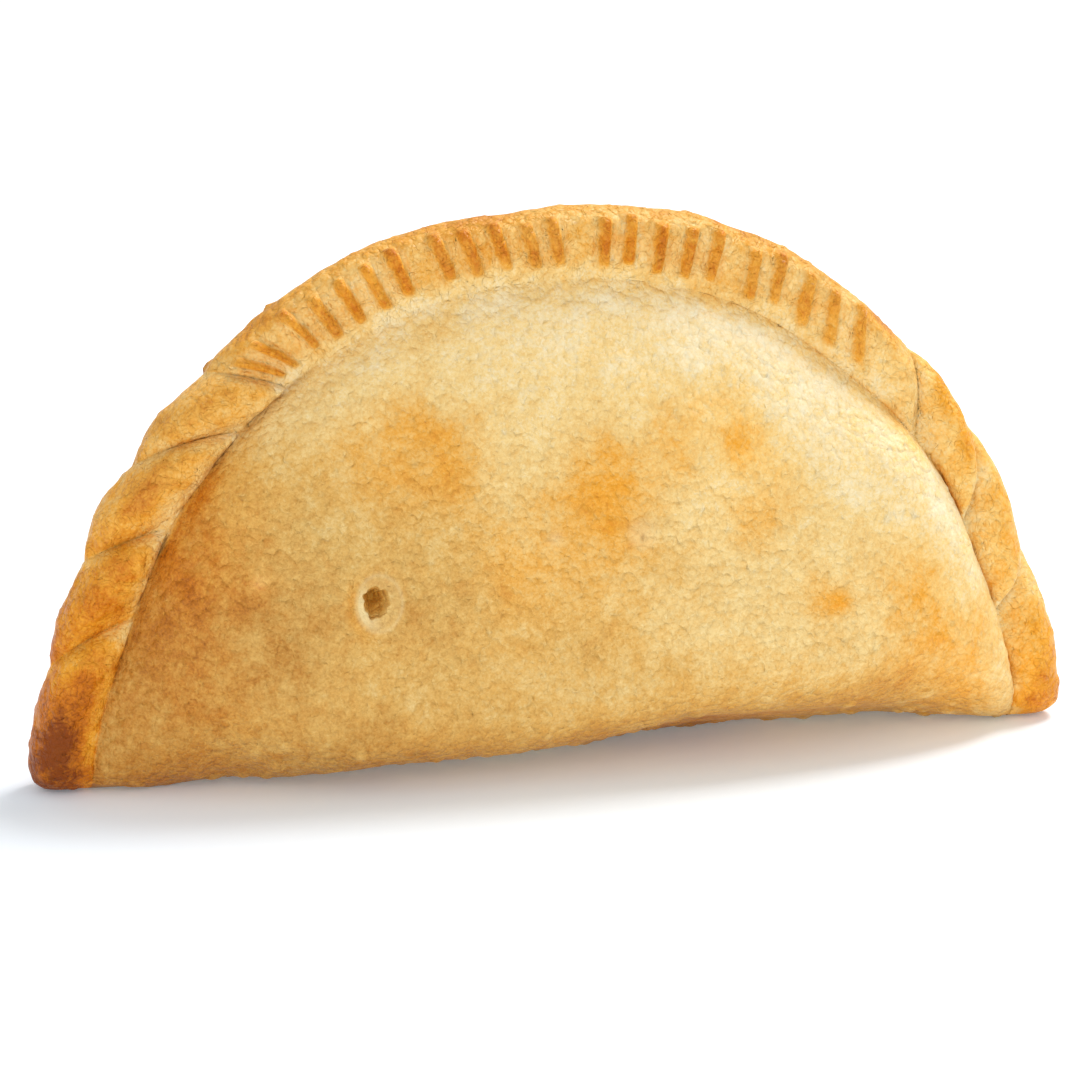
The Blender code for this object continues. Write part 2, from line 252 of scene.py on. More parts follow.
def bodyHalf(x, z, side):
    angle = np.degrees(np.arctan2(z, x))
    depth = form["frontDepth"] if side < 0 else form["backDepth"]
    sweep = around(form["frontSweep"] if side < 0 else form["backSweep"], angle)
    fullness = around(form["frontFullness"] if side < 0 else form["backFullness"], angle)
    inside = np.maximum(seamRadius(angle) - np.hypot(x, z), 0.0)
    hollow = mix(*form["seamSoft"], outsideBand(form["bandBody"], angle))
    t = np.clip((np.hypot(inside, hollow) - hollow) / sweep, 0.0, 1.0)
    swell = (1.0 - (1.0 - t) ** 2) ** (1.0 / fullness)
    uneven = unevenness(x, z, side) * smooth(0.0, form["swellEase"], inside)
    return mix(seamDepth(angle), depth, swell) + uneven


def footInset(x, z, half, side):
    keel = smooth(*form["keelStart"], np.abs(x))
    corner = form["frontFootRound"] if side < 0 else form["backFootRound"]
    corner = mix(corner, form["endFootRound"], keel)
    return quarterRound(z, np.minimum(corner, mix(*form["roundLimit"], keel) * half))


def ramp(distance):
    ease = form["footEase"]
    return np.clip(distance, 0.0, ease) ** 2 / (2.0 * ease) + np.maximum(distance - ease, 0.0)


def footStart(x):
    return np.interp(x, form["footStops"], form["footLines"])


def footEnd(x):
    narrow = smooth(*form["footEnds"], np.abs(x))
    return footStart(x) + mix(form["footWidth"], form["endFootWidth"], narrow)


def footRise(x, y):
    slope = np.interp(x, form["footStops"], form["footSlopes"])
    return slope * ramp(footStart(x) - y) + form["backFootSlope"] * ramp(y - footEnd(x))


def lifted(x, y, z):
    return np.stack([x, y, z + footRise(x, y) * (1.0 - smooth(0.0, form["liftFade"], z))], axis=-1)


def edgeAngles():
    # columns along the edge, closer together at the lip of each tuck
    bounds = tuckBounds()
    bounds[0] = 0.0
    bounds[-1] = 180.0
    angles = []
    for low, high in zip(bounds[:-1], bounds[1:]):
        step = form["bandStep"] if isBand(low) else form["columnStep"]
        count = 2 * int(round((high - low) / step / 2.0))
        share = np.arange(count) / count
        if low > 0.0 and not isBand(low):
            share = share ** form["lipCrowding"]
        angles += list(mix(low, high, share))
    return np.array(angles + [180.0])


def wallPoints(x, z, half, side):
    return lifted(x, side * (half - footInset(x, z, half, side)), z)


def sheet(angles, side, counts):
    # one side as rows from the edge down to the foot; each row is points, column angle,
    # share of the way in across the rim, and mm inside the seam
    edgeCount, rimCount, wallCount, footCount = counts
    turn = creaseTurn(angles) * side
    edge = edgeShare(angles)
    inwards = [edge * (1.0 - np.cos(k * np.pi / 2 / edgeCount)) for k in range(edgeCount + 1)]
    inwards += [mix(edge, 1.0, np.sin(k * np.pi / 2 / rimCount)) for k in range(1, rimCount + 1)]
    rows = []
    for inward in inwards:
        angle = angles + turn * inward ** form["turnEase"]
        radius = mix(outline(angles), seamRadius(angles + turn), inward)
        x = radius * np.cos(np.radians(angle))
        z = radius * np.sin(np.radians(angle))
        points = wallPoints(x, z, rimHalf(angles, angles + turn, inward), side)
        rows.append((points, angles, inward * np.ones_like(angles), np.zeros_like(angles)))
    seamX = x
    seamZ = z
    away = (fromTip(angles) / 90.0) ** form["footSpread"]
    footX = form["footReach"] * np.where(angles < 90.0, 1.0 - away, away - 1.0)
    roundShare = form["footCorner"] / np.maximum(seamZ, form["footCorner"] * 2.0)
    steps = np.arange(1, wallCount + 1) / wallCount
    shares = [mix(1.0, roundShare, step ** form["wallCrowding"]) for step in steps]
    steps = np.arange(1, footCount + 1) / footCount
    shares += [roundShare * (1.0 - np.sin(step * np.pi / 2)) for step in steps]
    for share in shares:
        x = mix(footX, seamX, share)
        z = seamZ * share
        points = wallPoints(x, z, bodyHalf(x, z, side), side)
        inside = seamRadius(np.degrees(np.arctan2(z, x))) - np.hypot(x, z)
        rows.append((points, angles, np.ones_like(angles), np.maximum(inside, 0.0)))
    return rows


class meshGrid:
    # points with what is known about each, and the faces between rows of them
    def __init__(self):
        self.points = []
        self.facts = []
        self.faces = []
        self.count = 0

    def addRow(self, points, facts):
        numbers = np.arange(self.count, self.count + len(points))
        self.points.append(points)
        self.facts.append(facts)
        self.count += len(points)
        return numbers

    def strip(self, upper, lower):
        for a, b, c, d in zip(upper[:-1], upper[1:], lower[1:], lower[:-1]):
            corners = list(dict.fromkeys((int(a), int(b), int(c), int(d))))
            if len(corners) > 2:
                self.faces.append(corners)

    def zipper(self, upper, lower, upperKeys, lowerKeys):
        # triangles between two rows with different numbers of points, matched by their keys
        i = 0
        j = 0
        while i < len(upper) - 1 or j < len(lower) - 1:
            ahead = j == len(lower) - 1 or (
                i < len(upper) - 1 and upperKeys[i + 1] <= lowerKeys[j + 1])
            if ahead:
                corners = (upper[i], upper[i + 1], lower[j])
                i += 1
            else:
                corners = (upper[i], lower[j + 1], lower[j])
                j += 1
            if len(set(int(c) for c in corners)) == 3:
                self.faces.append([int(c) for c in corners])


def buildGrid():
    angles = edgeAngles()
    grid = meshGrid()
    frontCounts = (form["edgeRows"], form["rimRows"], form["wallRows"], form["footRows"])
    backCounts = (form["backEdgeRows"], form["backRimRows"], form["backWallRows"],
                  form["backFootRows"])
    sides = []
    for side, counts in ((-1.0, frontCounts), (1.0, backCounts)):
        rows = sheet(angles, side, counts)
        # columns are dropped where the surface is plain: below the seam, and over the back's edge
        if side < 0:
            halvings = {counts[0] + counts[1] + 8: 2}
        else:
            halvings = {3: 2, counts[0] + counts[1] + 4: 2}
        step = 1
        numbered = []
        for number, (points, column, inward, inside) in enumerate(rows):
            keep = np.arange(0, len(angles), step)
            if number in halvings:
                step *= halvings[number]
                keep = np.arange(0, len(angles), step)
            if keep[-1] != len(angles) - 1:
                keep = np.append(keep, len(angles) - 1)
            if side > 0 and number == 0:
                numbers = sides[0][0][0]
            else:
                facts = np.stack([column, inward, inside, np.full(len(angles), side)], axis=-1)
                numbers = grid.addRow(points[keep], facts[keep])
            numbered.append((numbers, keep, points))
            if number == 0:
                continue
            above, keysAbove, _ = numbered[-2]
            if len(above) == len(numbers):
                grid.strip(above, numbers)
            else:
                grid.zipper(above, numbers, keysAbove, keep)
        sides.append(numbered)
    borders = []
    for numbered in sides:
        right = [numbers[0] for numbers, keep, points in numbered]
        left = [numbers[-1] for numbers, keep, points in numbered]
        low = numbered[-1][0]
        borders.append(np.array(right + list(low[1:-1]) + left[::-1]))
    places = np.concatenate(grid.points)
    front = places[borders[0]]
    back = places[borders[1]]
    # the back's border, read off at the front border's x
    order = np.argsort(back[:, 0])
    backY = np.interp(front[:, 0], back[order, 0], back[order, 1])
    across = borders[0]
    x = front[:, 0]
    lowY = front[:, 1]
    for step in range(1, form["underRows"]):
        share = step / form["underRows"]
        y = mix(lowY, np.maximum(backY, lowY), share)
        points = lifted(x, y, np.zeros_like(x))[1:-1]
        facts = np.tile([0.0, 1.0, 30.0, 0.0], (len(points), 1))
        facts[:, 0] = np.where(x[1:-1] > 0.0, 0.0, 180.0)
        numbers = grid.addRow(points, facts)
        numbers = np.concatenate([[across[0]], numbers, [across[-1]]])
        grid.strip(across, numbers)
        across = numbers
    grid.zipper(across, borders[1], -x, -back[:, 0])
    return grid


factNames = ("column", "inward", "inside", "side")


def roughCrust():
    grid = buildGrid()
    points = np.concatenate(grid.points)
    points[:, 1] += form["rimPlane"]
    facts = np.concatenate(grid.facts)
    data = bpy.data.meshes.new("crust")
    data.from_pydata((points * mm).tolist(), [], grid.faces)
    for number, name in enumerate(factNames):
        layer = data.attributes.new(name, "FLOAT", "POINT")
        layer.data.foreach_set("value", facts[:, number].astype(np.float32))
    return data


# The steam vent and the broken blister, where the faces are made smaller first
vent = {
    "place": (-25.5, 24.4),
    "width": 1.6, "height": 1.95,     # half sizes of the torn opening
    "depth": 3.4, "wall": 1.25,
    "jag": (0.05, 0.06, 0.04), "jagTurns": (3, 7, 11), "jagStart": (0.6, 2.2, 4.0),
    "crater": 2.75, "craterRise": 1.24, "craterOff": (0.35, -0.2), "craterDip": 0.75,
    "ring": 0.16, "ringWidth": 0.45, "refine": 4.2,
}
blister = {
    "place": (6.9, 30.5), "radius": 1.5, "rim": 0.08, "rimWidth": 0.5, "rise": 0.42,
    "pinhole": 0.28, "pinholeDepth": 0.5, "pinholeOff": (-0.15, -0.35),
    "refine": 3.2,
    # x, z, radius, height, how pale
    "bumps": ((-3.9, 30.6, 0.9, 0.3, 0.7), (-38.9, 27.1, 0.8, 0.2, 0.3)),
}


def refine(mesh, place, radius, cuts):
    chosen = []
    for edge in mesh.edges:
        a, b = edge.verts
        middle = (a.co + b.co) / 2.0 / mm
        near = (middle.x - place[0]) ** 2 + (middle.z - place[1]) ** 2 < radius ** 2
        if near and middle.y < form["rimPlane"]:
            chosen.append(edge)
    bmesh.ops.subdivide_edges(mesh, edges=chosen, cuts=cuts, use_grid_fill=True)
    wide = [face for face in mesh.faces if len(face.verts) > 4]
    bmesh.ops.triangulate(mesh, faces=wide)


def ventShape(points, side):
    # how far the front stands out at the vent, how deep the hole is, and its pale and brown parts; the
    # crater's side that faces the light is painted paler, a painted highlight
    dx = points[:, 0] - vent["place"][0]
    dz = points[:, 2] - vent["place"][1]
    turn = np.arctan2(dz, dx)
    reach = np.ones(len(points))
    for jag, turns, start in zip(vent["jag"], vent["jagTurns"], vent["jagStart"]):
        reach += jag * np.sin(turns * turn + start)
    past = (np.hypot(dx / vent["width"], dz / vent["height"]) / reach - 1.0) * vent["width"]
    front = np.where(side < 0.0, 1.0, 0.0)
    deep = front * np.clip(-past / vent["wall"], 0.0, 1.0)
    across = dx - vent["craterOff"][0]
    up = (dz - vent["craterOff"][1]) / vent["craterRise"]
    round = np.hypot(across, up) - vent["crater"]
    slope = smooth(-1.5, 0.0, -round)
    stand = vent["ring"] * bell(round, vent["ringWidth"]) - vent["craterDip"] * slope
    litSide = smooth(-0.1, 0.9, -np.cos(turn - 0.35))
    inRing = smooth(0.1, -0.3, round) * smooth(-0.15, 0.1, past)
    # the ring's crest is paler all round; inside the ring the side facing the key light is painted paler
    # still: painted highlight
    pale = front * np.maximum(inRing * mix(0.1, 0.66, litSide), 0.3 * bell(round, 0.22))
    halo = front * bell(round - 0.7, 0.8) * litSide
    return front * stand, deep, pale, halo


def blisterShape(points, side):
    dx = points[:, 0] - blister["place"][0]
    dz = points[:, 2] - blister["place"][1]
    away = np.hypot(dx, dz)
    rim = blister["rim"] * bell(away - blister["radius"], blister["rimWidth"])
    rise = blister["rise"] * bell(away, blister["radius"] * 0.75)
    # the pinhole is darkened in the colour: painted shade in a small recess
    hole = np.hypot(dx - blister["pinholeOff"][0], (dz - blister["pinholeOff"][1]) * 0.6)
    hole = bell(hole, blister["pinhole"])
    front = side < 0.0
    height = np.where(front, rim + rise - blister["pinholeDepth"] * hole, 0.0)
    pale = 0.75 * bell(away, 1.5) + 0.2 * bell(away - blister["radius"], 0.5)
    for x, z, radius, tall, fair in blister["bumps"]:
        bump = bell(np.hypot(points[:, 0] - x, points[:, 2] - z), radius)
        height = height + np.where(front, tall * bump, 0.0)
        pale = np.maximum(pale, fair * bump)
    return height, np.where(front, 0.7 * hole, 0.0), np.where(front, pale, 0.0)


# Plain fork presses that close the band over the crown
presses = {
    "first": 55.5, "last": 126.0,     # degrees along the rim
    "bars": 5, "pitch": 3.1, "gap": 2.0,
    "width": 0.7,                     # degrees to either side
    "height": 1.15, "moat": 0.25,     # mm
    "outer": (0.1, 0.2), "inner": (0.7, 0.84),
    "slant": -0.8, "wander": 0.3, "seed": 11,
}


def pressShape(angle, inward):
    # the bars of dough squeezed up between the tines, and the shallow grooves beside them
    rng = np.random.RandomState(presses["seed"])
    bars = np.zeros_like(angle)
    moats = np.zeros_like(angle)
    start = presses["first"]
    while start < presses["last"]:
        force = rng.uniform(0.75, 1.0)
        tilt = rng.uniform(-0.7, 0.7)
        for number in range(presses["bars"]):
            at = start + number * presses["pitch"] + presses["wander"] * rng.uniform(-1.0, 1.0)
            at = at + (presses["slant"] + tilt) * (inward - 0.5)
            shift = rng.uniform(-0.06, 0.06)
            reach = smooth(*presses["outer"], inward + shift)
            reach = reach * (1.0 - smooth(*presses["inner"], inward + shift))
            off = np.abs(angle - at) / presses["width"]
            bar = np.sqrt(np.clip(1.0 - off * off, 0.0, 1.0)) * force * np.sqrt(reach)
            bars = np.maximum(bars, bar)
            moats = np.maximum(moats, bell(off - 1.3, 0.4) * reach)
        start += presses["bars"] * presses["pitch"] + presses["gap"]
    return moats, bars


# Unevenness of baked dough, in the mesh
surface = {
    # size, height, seed
    "lumps": ((11.0, 0.2, 3), (4.5, 0.14, 7), (1.9, 0.11, 9), (1.1, 0.07, 10)),
    # spacing, radius, share, height, seed
    "blisters": ((2.6, 1.0, 0.35, 0.14, 21), (1.6, 0.6, 0.4, 0.08, 22)),
    "rimBlisters": ((2.2, 1.0, 0.45, 0.26, 23), (1.4, 0.6, 0.5, 0.14, 24)),
    "pimples": (2.7, 1.2, 0.6, 0.42, 25), "pimplesBelow": 13.0,
}


def roughness(points, onRim):
    height = np.zeros(len(points))
    for size, amount, seed in surface["lumps"]:
        height += amount * softNoise(points, size, seed)
    plain = np.zeros(len(points))
    for spacing, radius, share, amount, seed in surface["blisters"]:
        plain += amount * scattered(points, spacing, radius, share, seed)
    rim = np.zeros(len(points))
    for spacing, radius, share, amount, seed in surface["rimBlisters"]:
        rim += amount * scattered(points, spacing, radius, share, seed)
    spacing, radius, share, amount, seed = surface["pimples"]
    low = (1.0 - smooth(0.4, 1.0, points[:, 2] / surface["pimplesBelow"])) * (1.0 - onRim)
    pimples = low * scattered(points, spacing, radius, share, seed)
    height += amount * pimples
    return height + mix(plain, rim, onRim), pimples


# Where the oven browned it, with painted shade along the seam and creases
browning = {
    "slope": (0.55, 0.9), "slopeEnds": (-15.0, 72.0), "pale": 0.07, "dark": 0.62,
    # x, z, half width, half height, more brown, more gold
    "patches": (
        (-50, 22, 8, 14, 0.16, 0.35), (-46, 34, 7, 8, 0.12, 0.6), (-40, 8, 13, 7, -0.04, 0.1),
        (-38, 45, 6, 5, -0.1, 0.0), (-20, 41, 9, 6, 0.12, 0.6), (-17, 54, 5.5, 3, 0.1, 0.25), (-16, 60, 7, 3, -0.05, -0.1),
        (-27, 52, 8, 6, -0.07, 0.0), (3, 35, 6, 9, 0.18, 0.75), (17, 41, 8, 6, 0.14, 0.7),
        (24, 33, 6, 6, 0.1, 0.5), (-8, 27, 5, 8, 0.03, 0.35), (42, 20, 6, 9, 0.14, 0.5), (40, 8, 12, 6, 0.1, 0.0), (30, 28, 9, 7, 0.08, 0.0),
        (-12, 22, 10, 8, 0.06, -0.05), (-33, 4, 9, 5, 0.03, -0.15),
        (50, 12, 7, 8, 0.08, 0.5), (28, 21, 3, 3, 0.1, 0.4), (-30, 35, 8, 10, -0.02, -0.1),
        (-8, 10, 20, 6, -0.09, 0.0), (48, 32, 8, 10, -0.06, 0.0),
        (-36, 20, 7, 13, 0.09, 0.0), (-38.9, 27.1, 1.0, 1.0, -0.06, 0.5), (31.4, 20.6, 1.6, 1.6, 0.14, 0.6),
    ),
    "band": 0.33, "bandEdge": 0.2, "bandInner": -0.12, "bar": 0.37, "moat": -0.02,
    # along the right rope and along the left one
    "tuck": (0.33, 0.45), "tail": (-0.06, -0.13), "lip": (-0.14, -0.18), "slip": (-0.16, -0.05),
    "tip": (0.18, 0.26), "lowTucks": 0.16,
    "foot": 0.09, "footGold": 0.2, "footHeight": 3.0,
}


def browned(points, facts, bars, moats):
    # how brown, how golden rather than dull, and how much painted shade and browning lie in the seam and
    # creases, from 0 to 1
    column, inward, inside, side = facts
    x = points[:, 0]
    z = points[:, 2]
    along = browning["slope"][0] * x + browning["slope"][1] * z
    brown = mix(browning["dark"], browning["pale"], smooth(*browning["slopeEnds"], along))
    gold = np.full(len(points), 0.15)
    for px, pz, wide, high, more, golden in browning["patches"]:
        here = np.exp(-(((x - px) / wide) ** 2) - (((z - pz) / high) ** 2))
        ragged = 1.0 + 0.5 * softNoise(points, 5.0, 41) + 0.25 * softNoise(points, 2.4, 42)
        brown += more * here * ragged
        gold += golden * here * ragged
    brown += 0.05 * softNoise(points, 9.0, 43)
    back = smooth(-0.5, 0.5, side)
    patchy = softNoise(points, 17.0, 31) + 0.6 * softNoise(points, 8.0, 32)
    brown = mix(brown, 0.5 + 0.16 * patchy, back)
    gold = mix(gold, 0.5 + 0.3 * softNoise(points, 14.0, 33), back)
    low = bell(z - footRise(x, points[:, 1] - form["rimPlane"]), browning["footHeight"])
    brown += browning["foot"] * low
    gold += browning["footGold"] * low

    phase = tuckPhase(column)
    rope = np.where(isBand(column), 0.0, 1.0)
    left = np.where(column > 90.0, 1, 0)
    tuck, tail, lip, slip, tip = [np.array(browning[name])[left]
                                  for name in ("tuck", "tail", "lip", "slip", "tip")]
    crest = tuck + lip * bell(phase, 0.09) + slip * smooth(0.75, 1.0, phase)
    crest = crest + tail * smooth(0.62, 1.0, inward)
    crest = crest + 0.12 * bell(inward - 0.3, 0.25) * bell(phase - 0.45, 0.3)
    crest = crest + 0.12 * softNoise(points, 3.2, 51) + 0.08 * softNoise(points, 1.5, 52)
    crest = crest + browning["lowTucks"] * smooth(142.0, 166.0, column)
    toTip = 1.0 - smooth(3.0, 17.0, fromTip(column))
    crest = crest + tip * toTip * (1.0 - 0.7 * smooth(0.6, 1.0, inward))
    flat = browning["band"] + browning["bandEdge"] * bell(inward, 0.13)
    flat = flat + browning["bandInner"] * smooth(0.55, 1.0, inward)
    flat = flat + 0.1 * softNoise(points, 4.0, 53) + 0.07 * softNoise(points, 1.8, 54)
    flat = flat + browning["bar"] * bars + browning["moat"] * moats
    rim = mix(flat, crest, rope)
    ropeGold = 1.0 - 0.35 * bell(column - 138.0, 17.0)
    rimGold = mix(0.62, ropeGold, rope) - 0.25 * smooth(0.6, 1.0, inward) * (1.0 - toTip) * left
    rimGold = rimGold + 0.3 * bars
    blendWidth = mix(2.6, 0.45, rope)
    onRim = (1.0 - smooth(0.0, 1.0, inside / blendWidth)) * smooth(0.2, 0.8, np.abs(side))
    brown = mix(brown, rim, onRim)
    gold = mix(gold, rimGold, onRim)
    along = 0.6 + 0.4 * softNoise(points, 4.0, 61)
    onLeft = smooth(120.0, 128.0, column) * (1.0 - smooth(165.0, 176.0, column))
    # the seam under the ropes and the creases between tucks are darkened towards deep brown: partly painted
    # shade, partly browning
    seamShadeAndBrown = bell(inside, 0.45) * smooth(0.95, 1.0, inward) * along
    seamShadeAndBrown = seamShadeAndBrown * (onLeft + 0.35 * rope * (1.0 - left))
    creaseShadeAndBrown = rope * (bell(phase, 0.035) + bell(1.0 - phase, 0.03)) * (inside <= 0.0) * along
    creaseShadeAndBrown = creaseShadeAndBrown * bell(inward - mix(0.6, 0.35, left), mix(0.4, 0.3, left))
    deep = (seamShadeAndBrown + 0.8 * creaseShadeAndBrown) * smooth(0.2, 0.8, np.abs(side))
    return brown, np.clip(gold, 0.0, 1.0), np.clip(deep, 0.0, 1.0)


def setAttribute(data, name, values):
    layer = data.attributes.get(name) or data.attributes.new(name, "FLOAT", "POINT")
    layer.data.foreach_set("value", values.astype(np.float32))


def readAttribute(data, name):
    values = np.empty(len(data.vertices), np.float32)
    data.attributes[name].data.foreach_get("value", values)
    return values.astype(float)


def readPoints(data):
    points = np.empty(len(data.vertices) * 3, np.float32)
    data.vertices.foreach_get("co", points)
    return points.reshape(-1, 3).astype(float) / mm


def readNormals(data):
    normals = np.empty(len(data.vertices) * 3, np.float32)
    data.vertex_normals.foreach_get("vector", normals)
    return normals.reshape(-1, 3).astype(float)


def buildCrust():
    print("laying out the folded crust")
    data = roughCrust()
    mesh = bmesh.new()
    mesh.from_mesh(data)
    bmesh.ops.recalc_face_normals(mesh, faces=mesh.faces)
    refine(mesh, vent["place"], vent["refine"], 1)
    refine(mesh, vent["place"], vent["refine"] * 0.7, 1)
    refine(mesh, blister["place"], blister["refine"], 1)
    mesh.to_mesh(data)
    mesh.free()

    print("pressing, blistering and piercing it")
    points = readPoints(data)
    normals = readNormals(data)
    column, inward, inside, side = [readAttribute(data, name) for name in factNames]
    onFront = smooth(0.2, 0.8, np.abs(side))
    onRim = (1.0 - smooth(0.0, 1.5, inside)) * onFront
    moats, bars = pressShape(column, inward)
    onBand = onRim * np.where(isBand(column), 1.0, 0.0)
    moats = moats * onBand
    bars = bars * onBand
    rough, pimples = roughness(points, onRim)
    lift = rough - presses["moat"] * moats + presses["height"] * bars
    stand, deep, pale, halo = ventShape(points, side)
    broken, pinhole, paleRing = blisterShape(points, side)
    calm = 1.0 - np.clip(deep, 0.0, 1.0)
    brown, gold, dark = browned(points, (column, inward, inside, side), bars, moats)
    # raised pimples and lumps are painted paler and low spots darker: painted highlight and shade on the
    # relief
    brown = brown - 0.02 * halo - 0.15 * pimples - 0.12 * rough * (1.0 - onRim)
    gold = np.clip(gold + 0.3 * halo, 0.0, 1.0)
    points = points + normals * (lift * calm + stand + broken)[:, None]
    points[:, 1] += vent["depth"] * deep
    points[:, 2] = np.maximum(points[:, 2], 0.0)
    data.vertices.foreach_set("co", (points * mm).astype(np.float32).ravel())
    data.update()
    setAttribute(data, "brown", brown)
    setAttribute(data, "gold", gold)
    # painted shade and browning in the seam and creases, and painted shade in the pinhole
    setAttribute(data, "dark", np.maximum(dark, pinhole))
    setAttribute(data, "hollow", deep)
    # pale ring and blisters, and the painted highlight on the vent's lit side
    setAttribute(data, "pale", np.maximum(pale, 0.6 * paleRing))
    setAttribute(data, "rim", onRim)
    for name in factNames:
        data.attributes.remove(data.attributes[name])
    data.shade_smooth()
    item = bpy.data.objects.new("crust", data)
    bpy.context.collection.objects.link(item)
    print("crust:", len(data.vertices), "points,", sum(len(f.vertices) - 2 for f in data.polygons),
          "triangles")
    return item


# Baked crust finish
finish = {
    # browning, then colour, for dull and for golden dough
    "dull": ((0.0, (255, 240, 203)), (0.25, (248, 217, 150)), (0.5, (225, 181, 102)),
             (0.75, (190, 139, 62)), (1.0, (138, 86, 26))),
    "golden": ((0.0, (255, 232, 172)), (0.25, (254, 203, 112)), (0.5, (247, 168, 44)),
               (0.75, (214, 120, 10)), (1.0, (142, 66, 2))),
    # deep is the colour of the painted shade and browning in the seam, creases and pinhole; cream also
    # paints the highlight on the vent's lit side
    "deep": (140, 88, 30), "hole": (214, 158, 52), "cream": (255, 238, 184),
    # size in mm, how much it changes the browning and the gold
    "noises": ((5.5, 0.24, 0.3), (1.7, 0.24, 0.35), (0.75, 0.28, 0.0), (0.32, 0.36, 0.0)),
    "crackSize": 2.0, "crackWidth": 0.07, "crack": 0.05,
    "roughness": 0.4, "specular": 0.2,
    "relief": (0.0, 0.28, 0.24, 0.06), "crackRelief": 0.05,
    "grainSize": 1.0, "grainRelief": 0.3,
}


def toLinear(colour):
    values = []
    for part in colour:
        part = part / 255.0
        values.append(part / 12.92 if part <= 0.04045 else ((part + 0.055) / 1.055) ** 2.4)
    return (*values, 1.0)


class nodeBuilder:
    def __init__(self, material):
        material.use_nodes = True
        self.tree = material.node_tree
        self.shader = self.tree.nodes["Principled BSDF"]

    def add(self, kind, **settings):
        node = self.tree.nodes.new(kind)
        for name, value in settings.items():
            setattr(node, name, value)
        return node

    def join(self, output, socket):
        self.tree.links.new(output, socket)

    def attribute(self, name):
        return self.add("ShaderNodeAttribute", attribute_name=name).outputs["Fac"]

    def noise(self, place, size, detail=2.0, distortion=0.0, roughness=0.5):
        node = self.add("ShaderNodeTexNoise")
        node.inputs["Scale"].default_value = 1.0 / (size * mm)
        node.inputs["Detail"].default_value = detail
        node.inputs["Roughness"].default_value = roughness
        node.inputs["Distortion"].default_value = distortion
        self.join(place, node.inputs["Vector"])
        return node.outputs["Fac"]

    def math(self, operation, a, b=None, c=None):
        node = self.add("ShaderNodeMath", operation=operation)
        for socket, value in zip(node.inputs, (a, b, c)):
            if value is None:
                continue
            if isinstance(value, (int, float)):
                socket.default_value = value
            else:
                self.join(value, socket)
        return node.outputs["Value"]

    def ramp(self, value, stops):
        node = self.add("ShaderNodeValToRGB")
        ramp = node.color_ramp
        while len(ramp.elements) < len(stops):
            ramp.elements.new(0.5)
        for element, (place, colour) in zip(ramp.elements, stops):
            element.position = place
            element.color = toLinear(colour)
        self.join(value, node.inputs["Fac"])
        return node.outputs["Color"]

    def blend(self, share, a, b):
        node = self.add("ShaderNodeMix", data_type="RGBA")
        self.join(share, node.inputs["Factor"])
        for socket, value in ((node.inputs[6], a), (node.inputs[7], b)):
            if isinstance(value, tuple):
                socket.default_value = value
            else:
                self.join(value, socket)
        return node.outputs[2]


def crustMaterial():
    material = bpy.data.materials.new("bakedCrust")
    nodes = nodeBuilder(material)
    place = nodes.add("ShaderNodeTexCoord").outputs["Object"]
    brown = nodes.attribute("brown")
    gold = nodes.attribute("gold")
    heights = []
    for number, (size, browner, golder) in enumerate(finish["noises"]):
        noise = nodes.noise(place, size, 2.0, 0.5)
        swing = nodes.math("SUBTRACT", noise, 0.5)
        brown = nodes.math("MULTIPLY_ADD", swing, browner, brown)
        gold = nodes.math("MULTIPLY_ADD", swing, golder, gold)
        heights.append(noise)
    # a net of fine cracks on the rim
    lines = nodes.noise(place, finish["crackSize"], 1.0, 1.6)
    lines = nodes.math("ABSOLUTE", nodes.math("SUBTRACT", lines, 0.5))
    lines = nodes.math("SUBTRACT", 1.0, nodes.math("DIVIDE", lines, finish["crackWidth"]))
    lines = nodes.math("MULTIPLY", nodes.math("MAXIMUM", lines, 0.0), nodes.attribute("rim"))
    brown = nodes.math("MULTIPLY_ADD", lines, finish["crack"], brown)
    dull = nodes.ramp(brown, finish["dull"])
    golden = nodes.ramp(brown, finish["golden"])
    gold = nodes.math("MINIMUM", nodes.math("MAXIMUM", gold, 0.0), 1.0)
    colour = nodes.blend(gold, dull, golden)
    # cream: the pale ring and blisters, and the painted highlight on the vent's lit side
    colour = nodes.blend(nodes.math("MULTIPLY", nodes.attribute("pale"), 0.8), colour,
                         toLinear(finish["cream"]))
    # painted shade and browning in the seam, the creases and the pinhole
    colour = nodes.blend(nodes.math("MULTIPLY", nodes.attribute("dark"), 0.6), colour,
                         toLinear(finish["deep"]))
    colour = nodes.blend(nodes.math("MULTIPLY", nodes.attribute("hollow"), 0.9), colour,
                         toLinear(finish["hole"]))
    nodes.join(colour, nodes.shader.inputs["Base Color"])
    nodes.shader.inputs["Roughness"].default_value = finish["roughness"]
    nodes.shader.inputs["Specular IOR Level"].default_value = finish["specular"]
    # round grains of skin
    grain = nodes.add("ShaderNodeTexVoronoi")
    grain.inputs["Scale"].default_value = 1.0 / (finish["grainSize"] * mm)
    nodes.join(place, grain.inputs["Vector"])
    grain = nodes.math("MULTIPLY", grain.outputs["Distance"], grain.outputs["Distance"])
    normal = None
    reliefs = list(zip(heights, finish["relief"]))
    reliefs += [(grain, -finish["grainRelief"]), (lines, -finish["crackRelief"])]
    for height, distance in reliefs:
        if distance == 0.0:
            continue
        bump = nodes.add("ShaderNodeBump", invert=distance < 0.0)
        bump.inputs["Strength"].default_value = 1.0
        bump.inputs["Distance"].default_value = abs(distance) * mm
        nodes.join(height, bump.inputs["Height"])
        if normal is not None:
            nodes.join(normal, bump.inputs["Normal"])
        normal = bump.outputs["Normal"]
    nodes.join(normal, nodes.shader.inputs["Normal"])
    return material


